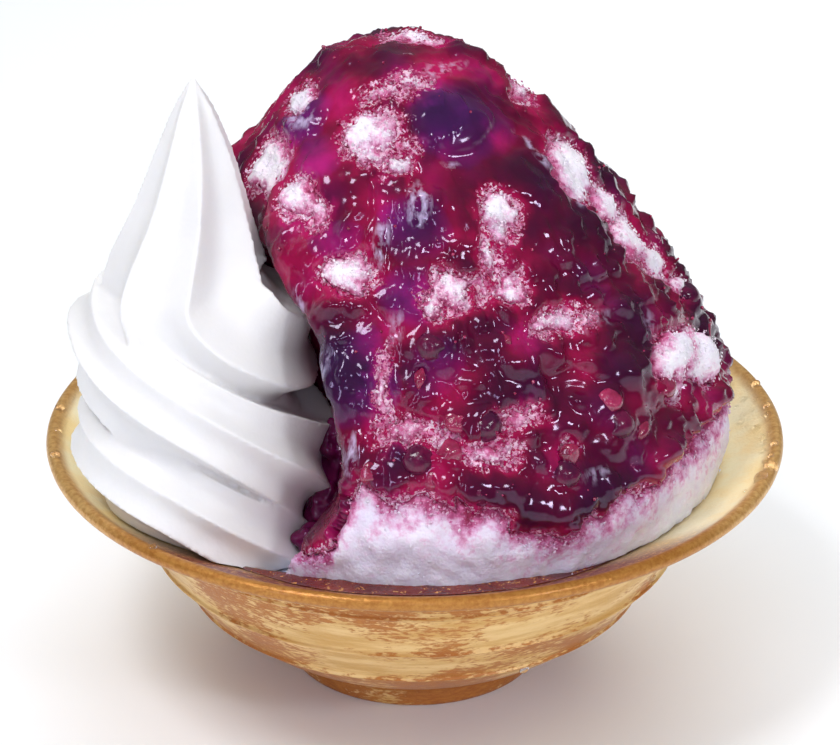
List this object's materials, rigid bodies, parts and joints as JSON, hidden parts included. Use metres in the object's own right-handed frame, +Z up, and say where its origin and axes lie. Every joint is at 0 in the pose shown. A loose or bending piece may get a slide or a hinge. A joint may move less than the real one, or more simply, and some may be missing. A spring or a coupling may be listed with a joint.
{
  "type": "shaved ice dessert",
  "caption": "Mound of shaved ice under dark berry sauce, with a piped soft serve swirl set into its left front, in a wide footed bowl with a gold glaze",
  "frame": {"origin": "on the bowl's axis, on the surface that its foot stands on", "axes": "+Z up, -Y towards the front, from which the soft serve stands at the left front"},
  "size_m": [0.1646, 0.165, 0.1474],
  "materials": {
    "gold_glaze": "satin gold glaze on the lip and inside, brushed with brown streaks on the body",
    "shaved_ice": "grainy, translucent, damp",
    "berry_sauce": "very glossy, see-through where thin",
    "soft_serve": "smooth, soft satin",
    "berry": "glossy, wet"
  },
  "bodies": {
    "root": {"bowl": "gold_glaze", "shaved_ice": "shaved_ice", "berry_sauce": "berry_sauce", "soft_serve": "soft_serve", "berry_01": "berry", "berry_02": "berry", "berry_03": "berry", "berry_04": "berry", "berry_05": "berry", "berry_06": "berry", "berry_07": "berry", "berry_08": "berry", "berry_09": "berry", "berry_10": "berry"}
  },
  "joints": []
}
